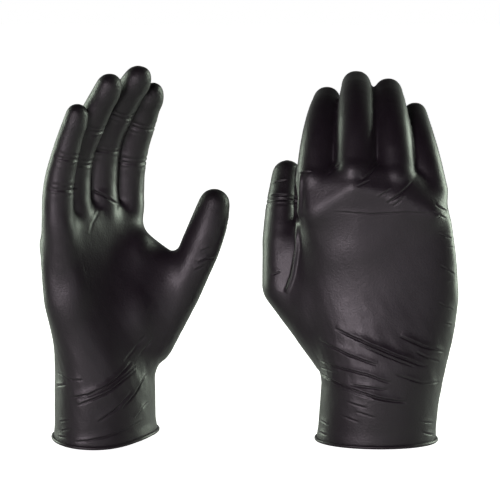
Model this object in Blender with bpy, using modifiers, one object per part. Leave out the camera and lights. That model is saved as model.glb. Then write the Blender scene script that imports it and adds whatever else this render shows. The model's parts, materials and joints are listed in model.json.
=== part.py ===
"""A pair of thin dipped rubber gloves, filled out as on a hand and standing on their rolled cuffs.

One glove stands with its palm forward and the other with its back forward. Each glove is a single
film of rubber. It is divided here at the lines where it bends, so that every zone between two
bends is a thin closed shell of its own: the rolled bead, the cuff, the palm with the roots of the
five stalls, two zones of thumb and three of each finger.

Lengths are in millimetres up to to_m(), and the scene is in metres with Z up. Each glove has a
frame of its own: w runs across the hand towards the thumb, n runs out of the palm, and u runs up
from the table.
"""

from math import cos, radians, sin, tan

import bmesh
import bpy
from mathutils import Matrix, Vector

# Film and bead
FILM = 0.14
BEAD_RADIUS = 1.1
BEAD_OUTSET = 0.5  # how far the middle of the bead stands outside the cuff's wall
SEAT_GAP = 0.3  # between the bead and the cuff that stands on it
BEND_GAP = 0.4  # left at a bend when it is fully closed
BEND_REACH = 1.3  # how far from the middle a bend is cleared, against the stall's half depth

# Cuff, an oval tube
CUFF_HALF_WIDTH = 34.5
CUFF_HALF_DEPTH = 26.0
CUFF_TAPER = 0.985  # the wrist end against the bead end

# Facets
ROUND_STEPS = 14
CUFF_STEPS = 28
BEAD_SIDES = 6  # not a multiple of four, so that the bead's underside is flat
BEAD_FLAT = sin(radians(360.0 * (BEAD_SIDES // 4) / BEAD_SIDES))  # its height against its radius
PALM_VOXEL = 1.7
PALM_FACES = 1300
DOME_RINGS = 4

# Stalls: half widths across the finger at the root, the middle joint, the tip joint and the dome,
# and the lengths from the root to the middle joint, on to the tip joint, and on to the tip.
FINGERS = {
    "index": {"half": (9.1, 8.8, 8.1, 7.2), "long": (25.0, 23.0, 29.0)},
    "middle": {"half": (10.0, 9.6, 8.7, 7.6), "long": (27.0, 25.0, 31.0)},
    "ring": {"half": (9.3, 9.0, 8.2, 7.3), "long": (25.0, 23.5, 30.0)},
    "little": {"half": (7.9, 7.5, 6.9, 6.3), "long": (22.0, 18.5, 27.0)},
}
THUMB_HALF = (10.8, 10.0, 8.4)
FINGER_DEPTH = 0.86  # a finger's thickness against its width
THUMB_DEPTH = 0.9
STUB = 9.0  # how far the palm's own mould runs up each stall before it is cut off
STUB_SLIM = 0.92  # the mould's stall against the finger's, so that neighbours stay apart
KNUCKLE_DROP = 32.0  # from a finger's root down to the start of its ridge in the palm
KNUCKLE_SPREAD = 1.15
THUMB_SPREAD = 1.3

# How far each bend goes, in degrees from a straight hand
WRIST_BACK, WRIST_FORWARD = 15.0, 20.0
ROOT_BACK, ROOT_FORWARD = 10.0, 58.0
MIDDLE_FORWARD = 72.0
TIP_SHARE = 0.5  # of the middle bend, which the tip bend follows
THUMB_BACK, THUMB_FORWARD = 15.0, 26.0
THUMB_TIP_BACK, THUMB_TIP_FORWARD = 10.0, 40.0

# Each glove: where it stands, which way the palm faces, the wrist's height, the roots of the
# fingers (w, n, u), how far each finger leans towards the thumb, and the bends of its three zones,
# counted from upright. The thumb is a run of points, from its base in the palm to its knuckle,
# the root of its stall, the stall's middle and its tip, and then the way that it folds.
GLOVES = {
    "palm_glove": {
        "stand": (-82.85, -10.7),
        "turn": 49.0,
        "wrist": 44.0,
        "roots": {
            "index": (25.5, -6.0, 136.0),
            "middle": (5.0, -9.0, 143.0),
            "ring": (-15.5, -8.5, 138.0),
            "little": (-33.5, -2.5, 127.0),
        },
        "lean": {"index": -2.0, "middle": 0.0, "ring": 1.0, "little": 3.0},
        "bend": {
            "index": (4.0, 20.0, 30.0),
            "middle": (2.0, 31.0, 40.0),
            "ring": (1.0, 30.0, 35.0),
            "little": (0.0, 15.0, 20.0),
        },
        "thumb": (
            (20.0, 8.0, 52.0),
            (38.0, 28.0, 84.0),
            (44.0, 35.0, 108.0),
            (48.0, 40.0, 126.0),
            (50.5, 43.0, 145.0),
        ),
        "thumb_fold": (-0.85, 0.5, 0.0),
        "palm": (
            (34.5, 25.5, 0.0, 0.0, 34.0),
            (35.5, 24.0, 0.0, 0.0, 48.0),
            (38.0, 19.0, -3.0, -2.0, 66.0),
            (41.0, 16.0, -5.0, -4.0, 88.0),
            (41.5, 14.0, -4.5, -6.5, 108.0),
            (37.0, 13.0, -4.0, -7.0, 119.0),
            (26.0, 12.0, 4.0, -8.0, 129.0),
        ),
        "pads": (
            ((19.0, 12.0, 66.0), (17.0, 15.0, 22.0)),
            ((29.0, 12.0, 74.0), (14.0, 12.0, 17.0)),
            ((-28.0, 2.0, 80.0), (15.0, 14.0, 28.0)),
        ),
    },
    "back_glove": {
        "stand": (75.15, -10.7),
        "turn": 177.0,
        "wrist": 50.0,
        "roots": {
            "index": (37.0, 2.0, 150.0),
            "middle": (14.5, -2.0, 155.0),
            "ring": (-10.0, -1.0, 152.0),
            "little": (-29.5, 4.0, 143.0),
        },
        "lean": {"index": -7.0, "middle": -1.0, "ring": 5.5, "little": 8.0},
        "bend": {
            "index": (25.0, 49.0, 64.0),
            "middle": (25.0, 50.0, 66.0),
            "ring": (23.0, 47.0, 62.0),
            "little": (21.0, 42.0, 56.0),
        },
        "thumb": (
            (24.0, 6.0, 60.0),
            (53.5, 13.0, 94.0),
            (57.0, 17.0, 112.0),
            (57.5, 25.0, 134.0),
            (55.0, 37.0, 157.0),
        ),
        "thumb_fold": (-0.45, 0.85, 0.0),
        "palm": (
            (34.0, 25.5, -1.0, 0.0, 40.0),
            (36.5, 24.0, -1.0, 0.0, 54.0),
            (41.0, 19.0, -1.5, 0.0, 72.0),
            (44.5, 16.0, -0.5, 0.0, 92.0),
            (44.0, 14.0, 2.5, 0.0, 118.0),
            (40.0, 12.5, 3.5, 0.5, 132.0),
            (29.0, 11.5, 10.0, 0.5, 142.0),
        ),
        "pads": (
            ((24.0, 8.0, 72.0), (20.0, 14.0, 22.0)),
            ((42.0, 9.0, 80.0), (14.0, 12.0, 18.0)),
            ((-29.0, 4.0, 84.0), (15.0, 14.0, 28.0)),
        ),
    },
}

NITRILE = {"color": (0.035, 0.033, 0.037, 1.0), "roughness": 0.5, "metallic": 0.0}


def to_m(value):
    """Millimetres to metres, for a number or a point."""
    if isinstance(value, (int, float)):
        return value / 1000.0
    return Vector(value) / 1000.0


class Frame:
    """A glove's own axes, and its points in the scene."""

    def __init__(self, glove):
        turn = radians(glove["turn"])
        self.across = Vector((cos(turn), sin(turn), 0.0))
        self.out = Vector((sin(turn), -cos(turn), 0.0))
        self.up = Vector((0.0, 0.0, 1.0))
        self.foot = Vector((*glove["stand"], 0.0))

    def direction(self, wnu):
        w, n, u = wnu
        return self.across * w + self.out * n + self.up * u

    def point(self, wnu):
        """A point of the glove, in metres in the scene."""
        return to_m(self.foot + self.direction(wnu))

    def matrix(self, wnu=(0.0, 0.0, 0.0)):
        """Places a shape whose X is across, Y is the back of the hand and Z is up."""
        turned = Matrix((self.across, -self.out, self.up)).transposed().to_4x4()
        return Matrix.Translation(self.point(wnu)) @ turned


def clear_scene():
    for obj in list(bpy.data.objects):
        bpy.data.objects.remove(obj, do_unlink=True)


def make_material():
    material = bpy.data.materials.new("black_nitrile")
    material.use_nodes = True
    shader = material.node_tree.nodes["Principled BSDF"]
    shader.inputs["Base Color"].default_value = NITRILE["color"]
    shader.inputs["Roughness"].default_value = NITRILE["roughness"]
    shader.inputs["Metallic"].default_value = NITRILE["metallic"]
    return material


def add_object(name, mesh, matrix, material, collection):
    obj = bpy.data.objects.new(name, mesh)
    obj.matrix_world = matrix
    mesh.materials.append(material)
    collection.objects.link(obj)
    return obj


def add_film(obj):
    """Gives an open surface the thickness of the film, inwards."""
    solidify = obj.modifiers.new("film", "SOLIDIFY")
    solidify.thickness = to_m(FILM)
    solidify.offset = -1.0


def facing(toward, hinge):
    """A frame at a joint: X is the hinge's axis, Z points along the zone, Y to its back."""
    along = toward.normalized()
    axis = (hinge - along * hinge.dot(along)).normalized()
    return Matrix((axis, along.cross(axis), along)).transposed()


def bend_planes(joint, before, after, hinge, half, back, forward):
    """The two planes between which the film is left out at a bend, as (point, normal) pairs.

    The near plane ends the zone before the bend, and the far plane starts the one after it. They
    part towards the palm as far as the bend folds forward, and towards the back as far as it
    folds backward. Their normals point along the finger.
    """
    along = (before.normalized() + after.normalized()).normalized()
    out = hinge.cross(along).normalized()
    reach = half * BEND_REACH
    rise_front = reach * tan(radians(forward) / 2) + to_m(BEND_GAP)
    rise_back = reach * tan(radians(back) / 2) + to_m(BEND_GAP)
    planes = []
    for side in (-1.0, 1.0):
        front = joint + out * reach + along * side * rise_front
        rear = joint - out * reach + along * side * rise_back
        normal = hinge.cross(front - rear).normalized()
        if normal.dot(along) < 0:
            normal.negate()
        planes.append(((front + rear) / 2, normal))
    return planes


def cut_away(shape, plane, keep_above):
    """Removes what lies on one side of a plane, and leaves the cut open."""
    point, normal = plane
    bmesh.ops.bisect_plane(
        shape,
        geom=shape.verts[:] + shape.edges[:] + shape.faces[:],
        dist=1e-7,
        plane_co=point,
        plane_no=normal,
        clear_inner=keep_above,
        clear_outer=not keep_above,
    )


def local_plane(plane, matrix):
    point, normal = plane
    back = matrix.inverted()
    return back @ point, (back.to_3x3() @ normal).normalized()


def turned_stall(profile, depth):
    """An open surface of revolution about Z from (radius, height) pairs, flattened in Y."""
    shape = bmesh.new()
    line = [shape.verts.new((radius, 0.0, height)) for radius, height in profile]
    edges = [shape.edges.new(pair) for pair in zip(line, line[1:])]
    bmesh.ops.spin(
        shape,
        geom=line + edges,
        cent=(0.0, 0.0, 0.0),
        axis=(0.0, 0.0, 1.0),
        angle=radians(360.0),
        steps=ROUND_STEPS,
        use_merge=True,
        use_duplicate=False,
    )
    bmesh.ops.remove_doubles(shape, verts=shape.verts[:], dist=1e-6)
    bmesh.ops.scale(shape, vec=(1.0, depth, 1.0), verts=shape.verts[:])
    bmesh.ops.recalc_face_normals(shape, faces=shape.faces[:])
    return shape


def finish_mesh(name, shape, smooth_below=40.0):
    mesh = bpy.data.meshes.new(name)
    shape.to_mesh(mesh)
    shape.free()
    mesh.shade_smooth()
    mesh.set_sharp_from_angle(angle=radians(smooth_below))
    return mesh


def dome(half, height, length):
    """The (radius, height) pairs of a fingertip: a rounded end on a length of stall."""
    pairs = []
    for ring in range(1, DOME_RINGS + 1):
        angle = radians(90.0) * ring / DOME_RINGS
        pairs.append((half * cos(angle), length - height + height * sin(angle)))
    pairs[-1] = (0.0, length)
    return pairs


def outward(shape):
    """Turns the faces out if the surface is inside out, as seen from its middle."""
    middle = sum((v.co for v in shape.verts), Vector()) / len(shape.verts)
    total = sum(f.normal.dot(f.calc_center_median() - middle) * f.calc_area() for f in shape.faces)
    if total < 0:
        bmesh.ops.reverse_faces(shape, faces=shape.faces[:])


def add_zone(name, start, halves, length, depth, matrix, planes, tools, tip=False):
    """One zone of a stall: an open tube, or a closed tip, cut at the bends it meets."""
    near_half, far_half = (to_m(h) for h in halves)
    long = to_m(length)
    before = -to_m(start)
    if tip:
        height = far_half * 1.15
        profile = [(near_half, before), (near_half * 0.995, 0.0), (far_half, long - height)]
        profile += dome(far_half, height, long)
    else:
        profile = [(near_half, before), (far_half, long + to_m(start))]
    shape = turned_stall(profile, depth)
    outward(shape)
    near, far = planes
    if near:
        cut_away(shape, local_plane(near, matrix), keep_above=True)
    if far:
        cut_away(shape, local_plane(far, matrix), keep_above=False)
    obj = add_object(name, finish_mesh(name, shape), matrix, tools["film"], tools["parts"])
    add_film(obj)
    return obj


def finger_path(frame, glove, finger):
    """The joints, directions and hinge axis of a finger."""
    lean = radians(glove["lean"][finger])
    rise = Vector((sin(lean), 0.0, cos(lean)))
    hinge = frame.direction((cos(lean), 0.0, -sin(lean)))
    point = frame.point(glove["roots"][finger])
    joints, ways = [point], []
    for bend, length in zip(glove["bend"][finger], FINGERS[finger]["long"]):
        angle = radians(bend)
        way = frame.direction((rise.x * cos(angle), sin(angle), rise.z * cos(angle)))
        ways.append(way)
        point = point + way * to_m(length)
        joints.append(point)
    return joints, ways, hinge


def finger_limits(glove, finger):
    """How far each bend of a finger goes back and forward from where it stands, in degrees."""
    root, middle, tip = glove["bend"][finger]
    middle_back = min(middle - root, (tip - middle) / TIP_SHARE)
    middle_on = MIDDLE_FORWARD - (middle - root)
    return (
        (root + ROOT_BACK, ROOT_FORWARD - root),
        (middle_back, middle_on),
        (middle_back * TIP_SHARE, middle_on * TIP_SHARE),
    )


def thumb_path(frame, glove):
    """The base and knuckle in the palm, the stall's joints and directions, and its hinge axis."""
    points = [frame.point(p) for p in glove["thumb"]]
    base, knuckle, *stall = points
    ways = [(b - a).normalized() for a, b in zip(stall, stall[1:])]
    hinge = ways[0].cross(frame.direction(glove["thumb_fold"])).normalized()
    return (base, knuckle), stall, ways, hinge


def finger_planes(frame, glove, finger):
    joints, ways, hinge = finger_path(frame, glove, finger)
    halves = FINGERS[finger]["half"]
    limits = finger_limits(glove, finger)
    before = [frame.direction((0.0, 0.0, 1.0))] + ways[:2]
    planes = []
    for step in range(3):
        half = to_m(halves[step]) * FINGER_DEPTH
        back, forward = limits[step]
        planes.append(bend_planes(joints[step], before[step], ways[step], hinge, half, back, forward))
    return planes


def thumb_planes(frame, glove):
    (_, knuckle), stall, ways, hinge = thumb_path(frame, glove)
    root = to_m(THUMB_HALF[0]) * THUMB_DEPTH
    tip = to_m(THUMB_HALF[1]) * THUMB_DEPTH
    rise = stall[0] - knuckle
    return (
        bend_planes(stall[0], rise, ways[0], hinge, root, THUMB_BACK, THUMB_FORWARD),
        bend_planes(stall[1], ways[0], ways[1], hinge, tip, THUMB_TIP_BACK, THUMB_TIP_FORWARD),
    )


def wrist_planes(frame, glove):
    joint = frame.point((0.0, 0.0, glove["wrist"]))
    half = to_m(CUFF_HALF_DEPTH)
    return bend_planes(joint, frame.up, frame.up, frame.across, half, WRIST_BACK, WRIST_FORWARD)


def add_bead(side, frame, tools):
    width = to_m(CUFF_HALF_WIDTH + BEAD_OUTSET)
    depth = to_m(CUFF_HALF_DEPTH + BEAD_OUTSET)
    radius = to_m(BEAD_RADIUS)
    bpy.ops.mesh.primitive_torus_add(
        major_segments=CUFF_STEPS,
        minor_segments=BEAD_SIDES,
        major_radius=width,
        minor_radius=radius,
    )
    ring = bpy.context.object
    mesh = ring.data
    for vertex in mesh.vertices:
        run = Vector((vertex.co.x, vertex.co.y))
        spoke = run.normalized()
        proud = run.length - width
        vertex.co.x = spoke.x * (width + proud)
        vertex.co.y = spoke.y * (depth + proud)
        vertex.co.z += radius * BEAD_FLAT
    bpy.data.objects.remove(ring)
    name = f"{side}_bead"
    mesh.name = name
    mesh.shade_smooth()
    return add_object(name, mesh, frame.matrix(), tools["film"], tools["parts"])


def oval_tube(low, high, taper):
    """An open oval tube between two heights, in metres."""
    shape = bmesh.new()
    bmesh.ops.create_cone(
        shape,
        cap_ends=False,
        segments=CUFF_STEPS,
        radius1=1.0,
        radius2=taper,
        depth=high - low,
    )
    bmesh.ops.scale(
        shape,
        vec=(to_m(CUFF_HALF_WIDTH), to_m(CUFF_HALF_DEPTH), 1.0),
        verts=shape.verts[:],
    )
    bmesh.ops.translate(shape, vec=(0.0, 0.0, (low + high) / 2), verts=shape.verts[:])
    return shape


def add_cuff(side, frame, glove, tools):
    near, _ = wrist_planes(frame, glove)
    low = to_m(2 * BEAD_RADIUS * BEAD_FLAT + SEAT_GAP)
    shape = oval_tube(low, to_m(glove["wrist"]), CUFF_TAPER)
    outward(shape)
    cut_away(shape, local_plane(near, frame.matrix()), keep_above=False)
    name = f"{side}_cuff"
    obj = add_object(name, finish_mesh(name, shape), frame.matrix(), tools["film"], tools["parts"])
    add_film(obj)
    return obj


def add_ball(shape, centre, radii, turned):
    """A closed oval ball, with its radii along the axes of turned."""
    made = bmesh.ops.create_uvsphere(shape, u_segments=18, v_segments=12, radius=1.0)
    place = Matrix.Translation(centre) @ turned.to_4x4() @ Matrix.Diagonal((*radii, 1.0))
    bmesh.ops.transform(shape, matrix=place, verts=made["verts"])


def add_bone(shape, start, end, start_half, end_half, depth, hinge):
    """A closed oval cone with round ends between two joints."""
    along = end - start
    turned = facing(along, hinge)
    made = bmesh.ops.create_cone(
        shape,
        cap_ends=True,
        segments=18,
        radius1=start_half,
        radius2=end_half,
        depth=along.length,
    )
    squeeze = Matrix.Diagonal((1.0, depth, 1.0, 1.0))
    place = Matrix.Translation((start + end) / 2) @ turned.to_4x4() @ squeeze
    bmesh.ops.transform(shape, matrix=place, verts=made["verts"])
    for joint, half in ((start, start_half), (end, end_half)):
        add_ball(shape, joint, (half, half * depth, half), turned)


def palm_mould(frame, glove):
    """The closed shapes that a palm is made of, overlapping, in metres in the scene."""
    shape = bmesh.new()
    rings = glove["palm"]
    upright = frame.matrix().to_3x3()
    for low, high in zip(rings, rings[1:]):
        low_at, high_at = frame.point(low[2:]), frame.point(high[2:])
        made = bmesh.ops.create_cone(
            shape, cap_ends=True, segments=36, radius1=1.0, radius2=1.0, depth=1.0
        )
        for vertex in made["verts"]:
            ring, at = (low, low_at) if vertex.co.z < 0 else (high, high_at)
            spread = Vector((vertex.co.x * to_m(ring[0]), vertex.co.y * to_m(ring[1]), 0.0))
            vertex.co = at + upright @ spread
    knuckle_row = rings[-2]
    for finger, (w, n, u) in glove["roots"].items():
        joints, ways, hinge = finger_path(frame, glove, finger)
        half = to_m(FINGERS[finger]["half"][0])
        base_w = knuckle_row[2] + (w - knuckle_row[2]) * 0.82
        base_n = knuckle_row[3] + (n - knuckle_row[3]) * 0.7
        base = frame.point((base_w, base_n, u - KNUCKLE_DROP))
        slim = half * STUB_SLIM
        add_bone(shape, base, joints[0], half * KNUCKLE_SPREAD, slim, 1.0, hinge)
        stub_end = joints[0] + ways[0] * to_m(STUB)
        add_bone(shape, joints[0], stub_end, slim, slim, FINGER_DEPTH, hinge)
    (base, knuckle), stall, ways, hinge = thumb_path(frame, glove)
    root = to_m(THUMB_HALF[0])
    add_bone(shape, base, knuckle, root * THUMB_SPREAD, root * 1.08, THUMB_DEPTH, hinge)
    add_bone(shape, knuckle, stall[0], root * 1.08, root, THUMB_DEPTH, hinge)
    stub_end = stall[0] + ways[0] * to_m(STUB)
    add_bone(shape, stall[0], stub_end, root, root, THUMB_DEPTH, hinge)
    for centre, radii in glove["pads"]:
        add_ball(shape, frame.point(centre), to_m(radii[0:1] + radii[1:2] + radii[2:3]), upright)
    return shape


def blend_shapes(shape, name, collection):
    """Melts overlapping shapes into one skin, by voxels, and thins it to a plain mesh."""
    mesh = bpy.data.meshes.new(name)
    shape.to_mesh(mesh)
    shape.free()
    mould = bpy.data.objects.new(name, mesh)
    collection.objects.link(mould)
    melt = mould.modifiers.new("melt", "REMESH")
    melt.mode = "VOXEL"
    melt.voxel_size = to_m(PALM_VOXEL)
    relax = mould.modifiers.new("relax", "SMOOTH")
    relax.factor = 0.5
    relax.iterations = 3
    bpy.context.view_layer.update()
    graph = bpy.context.evaluated_depsgraph_get()
    count = len(mould.evaluated_get(graph).data.polygons) * 2
    thin = mould.modifiers.new("thin", "DECIMATE")
    thin.ratio = min(1.0, PALM_FACES / count)
    bpy.context.view_layer.update()
    graph = bpy.context.evaluated_depsgraph_get()
    skin = bmesh.new()
    skin.from_mesh(mould.evaluated_get(graph).data)
    bpy.data.objects.remove(mould)
    return skin


def split_between(skin, frame, glove):
    """Cuts the palm's skin along the planes midway between neighbouring fingers."""
    roots = [Vector(root) for root in glove["roots"].values()]
    walls = []
    for near, far in zip(roots, roots[1:]):
        normal = frame.direction((near.x - far.x, 0.0, (near.z - far.z) * 0.3)).normalized()
        walls.append((frame.point((near + far) / 2), normal))
    floor = min(root.z for root in roots) - STUB * 2
    for point, normal in walls:
        above = [f for f in skin.faces if (f.calc_center_median().z > to_m(floor))]
        edges = {e for f in above for e in f.edges}
        verts = {v for f in above for v in f.verts}
        bmesh.ops.bisect_plane(
            skin,
            geom=list(verts) + list(edges) + above,
            dist=1e-6,
            plane_co=point,
            plane_no=normal,
        )
    return walls


def cell_geometry(skin, inside):
    """The verts, edges and faces whose faces' middles pass the test."""
    faces = [f for f in skin.faces if inside(f.calc_center_median())]
    edges = {e for f in faces for e in f.edges}
    verts = {v for f in faces for v in f.verts}
    return list(verts) + list(edges) + faces


def trim_above(skin, plane, inside):
    """Takes off the faces above a plane, where the test holds, and leaves their neighbours."""
    point, normal = plane
    bmesh.ops.bisect_plane(
        skin,
        geom=cell_geometry(skin, inside),
        dist=1e-6,
        plane_co=point,
        plane_no=normal,
    )
    spare = []
    for face in skin.faces:
        middle = face.calc_center_median()
        if (middle - point).dot(normal) > 0 and inside(middle):
            spare.append(face)
    bmesh.ops.delete(skin, geom=spare, context="FACES")


def keep_largest(skin):
    """Drops every part of a surface that isn't joined to its largest part."""
    left = set(skin.faces)
    largest = set()
    while left:
        seed = left.pop()
        island, reach = {seed}, [seed]
        while reach:
            face = reach.pop()
            for edge in face.edges:
                for other in edge.link_faces:
                    if other in left:
                        left.remove(other)
                        island.add(other)
                        reach.append(other)
        if len(island) > len(largest):
            largest = island
    spare = [f for f in skin.faces if f not in largest]
    bmesh.ops.delete(skin, geom=spare, context="FACES")


def cut_stubs(skin, frame, glove):
    """Opens the palm's skin at the five stalls, each in its own cell."""
    walls = split_between(skin, frame, glove)
    names = list(glove["roots"])
    for number, finger in enumerate(names):
        joints, ways, _ = finger_path(frame, glove, finger)
        near, _ = finger_planes(frame, glove, finger)[0]
        bounds = []
        if number > 0:
            bounds.append((walls[number - 1], -1.0))
        if number < len(walls):
            bounds.append((walls[number], 1.0))
        below = to_m(FINGERS[finger]["half"][0]) * 1.3

        def inside(middle):
            if (middle - joints[0]).dot(ways[0]) < -below:
                return False
            return all((middle - wall[0]).dot(wall[1]) * sign > 0 for wall, sign in bounds)

        trim_above(skin, near, inside)
    _, stall, ways, _ = thumb_path(frame, glove)
    near, _ = thumb_planes(frame, glove)[0]
    root = to_m(THUMB_HALF[0])

    def around_thumb(middle):
        run = middle - stall[0]
        along = run.dot(ways[0])
        return along > -root and (run - ways[0] * along).length < root * 1.6

    trim_above(skin, near, around_thumb)


def add_hand(side, frame, glove, tools):
    name = f"{side}_hand"
    skin = blend_shapes(palm_mould(frame, glove), name, tools["parts"])
    _, far = wrist_planes(frame, glove)
    cut_away(skin, far, keep_above=True)
    cut_stubs(skin, frame, glove)
    keep_largest(skin)
    outward(skin)
    bmesh.ops.transform(skin, matrix=frame.matrix().inverted(), verts=skin.verts[:])
    obj = add_object(name, finish_mesh(name, skin), frame.matrix(), tools["film"], tools["parts"])
    add_film(obj)
    return obj


def add_finger(side, finger, frame, glove, tools):
    joints, ways, hinge = finger_path(frame, glove, finger)
    planes = finger_planes(frame, glove, finger)
    halves, lengths = FINGERS[finger]["half"], FINGERS[finger]["long"]
    zones = ("root", "middle", "tip")
    for step, zone in enumerate(zones):
        matrix = Matrix.Translation(joints[step]) @ facing(ways[step], hinge).to_4x4()
        far = planes[step + 1][0] if step < 2 else None
        add_zone(
            f"{side}_{finger}_{zone}",
            halves[step],
            halves[step : step + 2],
            lengths[step],
            FINGER_DEPTH,
            matrix,
            (planes[step][1], far),
            tools,
            tip=step == 2,
        )


def add_thumb(side, frame, glove, tools):
    _, stall, ways, hinge = thumb_path(frame, glove)
    planes = thumb_planes(frame, glove)
    for step, zone in enumerate(("root", "tip")):
        start, end = stall[step], stall[step + 1]
        matrix = Matrix.Translation(start) @ facing(ways[step], hinge).to_4x4()
        add_zone(
            f"{side}_thumb_{zone}",
            THUMB_HALF[step],
            THUMB_HALF[step : step + 2],
            (end - start).length * 1000.0,
            THUMB_DEPTH,
            matrix,
            (planes[step][1], planes[1][0] if step == 0 else None),
            tools,
            tip=step == 1,
        )


def build():
    clear_scene()
    collection = bpy.data.collections.new("nitrile_gloves")
    bpy.context.scene.collection.children.link(collection)
    tools = {"film": make_material(), "parts": collection}
    for side, glove in GLOVES.items():
        frame = Frame(glove)
        add_bead(side, frame, tools)
        add_cuff(side, frame, glove, tools)
        add_hand(side, frame, glove, tools)
        for finger in FINGERS:
            add_finger(side, finger, frame, glove, tools)
        add_thumb(side, frame, glove, tools)


build()
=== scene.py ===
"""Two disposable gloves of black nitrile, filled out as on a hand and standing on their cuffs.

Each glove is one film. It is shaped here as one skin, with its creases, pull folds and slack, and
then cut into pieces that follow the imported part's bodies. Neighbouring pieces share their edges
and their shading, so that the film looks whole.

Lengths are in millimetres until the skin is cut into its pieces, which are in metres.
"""

import json
from math import cos, pi, radians, sin

import bmesh
import bpy
import numpy as np
from mathutils import Matrix, Vector, noise

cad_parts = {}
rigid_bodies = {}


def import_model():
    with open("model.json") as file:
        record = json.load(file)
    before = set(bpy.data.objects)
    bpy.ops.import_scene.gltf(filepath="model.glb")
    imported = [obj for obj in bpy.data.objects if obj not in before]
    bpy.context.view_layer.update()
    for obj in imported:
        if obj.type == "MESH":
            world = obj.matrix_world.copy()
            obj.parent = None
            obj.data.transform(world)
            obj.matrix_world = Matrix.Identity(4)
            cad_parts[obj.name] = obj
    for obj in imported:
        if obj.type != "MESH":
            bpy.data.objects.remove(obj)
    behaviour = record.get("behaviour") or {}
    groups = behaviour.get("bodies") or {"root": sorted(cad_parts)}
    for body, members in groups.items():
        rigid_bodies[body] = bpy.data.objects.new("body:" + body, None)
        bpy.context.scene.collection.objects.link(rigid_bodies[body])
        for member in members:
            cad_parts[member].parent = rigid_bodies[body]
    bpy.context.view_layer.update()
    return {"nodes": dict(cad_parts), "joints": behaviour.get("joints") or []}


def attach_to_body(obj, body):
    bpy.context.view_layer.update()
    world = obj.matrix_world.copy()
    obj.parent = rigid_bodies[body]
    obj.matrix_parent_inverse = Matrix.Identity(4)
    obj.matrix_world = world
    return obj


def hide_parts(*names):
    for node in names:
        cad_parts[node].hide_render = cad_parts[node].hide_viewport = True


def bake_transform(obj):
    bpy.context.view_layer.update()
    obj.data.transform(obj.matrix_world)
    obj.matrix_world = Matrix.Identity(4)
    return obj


MM = 0.001
PITCH = 0.85  # between the skin's points
FILM = 0.13  # the film's thickness
BEAD = 1.05  # the rolled bead's half thickness
BEAD_TOP = BEAD * 1.7  # where the cuff's film comes out of the bead
BEAD_RING = 30.0  # the ring that the bead is laid out from before it follows the cuff's wall
WRIST_BLEND = 9.0  # how far below and above its joint the wrist piece reaches
BEAD_STEPS = 220
BEAD_SIDES = 14
SIDES = ("palm_glove", "back_glove")
FINGERS = ("index", "middle", "ring", "little")

# Half widths of each stall at its root, middle joint, tip joint and near its end
STALL_HALF = {
    "palm_glove": {
        "index": (10.0, 9.9, 9.3, 7.8),
        "middle": (10.8, 10.7, 9.9, 8.3),
        "ring": (10.0, 9.7, 8.9, 7.8),
        "little": (9.6, 9.0, 8.0, 6.8),
        "thumb": (11.8, 10.9, 9.2),
    },
    "back_glove": {
        "index": (10.9, 10.7, 9.6, 8.0),
        "middle": (11.7, 11.7, 10.4, 8.6),
        "ring": (11.1, 10.9, 9.8, 8.2),
        "little": (10.2, 9.9, 8.9, 7.2),
        "thumb": (11.6, 10.2, 9.0),
    },
}
# How far a stall's points stand from the joints' own places: across, out of the palm, up
NUDGES = {
    "palm_glove": {
        "index": ((0.8, 0.3, 0.0), (1.2, 0.5, 0.0), (2.5, 1.0, -1.0), (1.2, 0.8, -3.0)),
        "middle": ((1.0, 0.5, 0.0), (1.5, 1.0, 0.0), (2.8, 1.0, 0.0), (3.5, 1.2, -0.5)),
        "ring": ((0.6, 0.5, 0.0), (0.6, 0.5, 0.0), (1.8, 0.6, 1.2), (3.6, 0.8, 3.6)),
        "little": ((0.8, 0.0, 0.0), (-0.4, 0.0, 0.0), (0.3, 0.0, 1.5), (2.4, 0.0, 3.8)),
        "thumb": ((-1.5, 0.0, 0.0), (-1.2, 0.0, 0.0), (0.4, 0.0, -0.4)),
    },
    "back_glove": {
        "index": ((0.5, 0.0, 0.0), (0.8, 0.0, 0.0), (0.2, 0.0, -0.5), (-0.4, -1.5, -3.0)),
        "middle": ((0.0, 0.0, 0.0), (-0.5, 0.0, 0.0), (0.0, 0.0, -0.5), (0.5, -1.5, -2.0)),
        "ring": ((0.5, 0.0, 0.0), (0.5, 0.0, 0.0), (0.6, 0.0, -0.5), (0.8, -1.5, -2.2)),
        "little": ((0.6, 0.0, 0.0), (2.2, 0.0, 0.0), (3.2, 0.0, -0.5), (3.0, -1.0, -2.0)),
        "thumb": ((0.0, 0.0, 0.0), (-1.4, 0.0, 0.0), (-1.6, 0.0, 1.2)),
    },
}
STALL_DEPTH = 0.92  # a stall's thickness against its width

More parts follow.
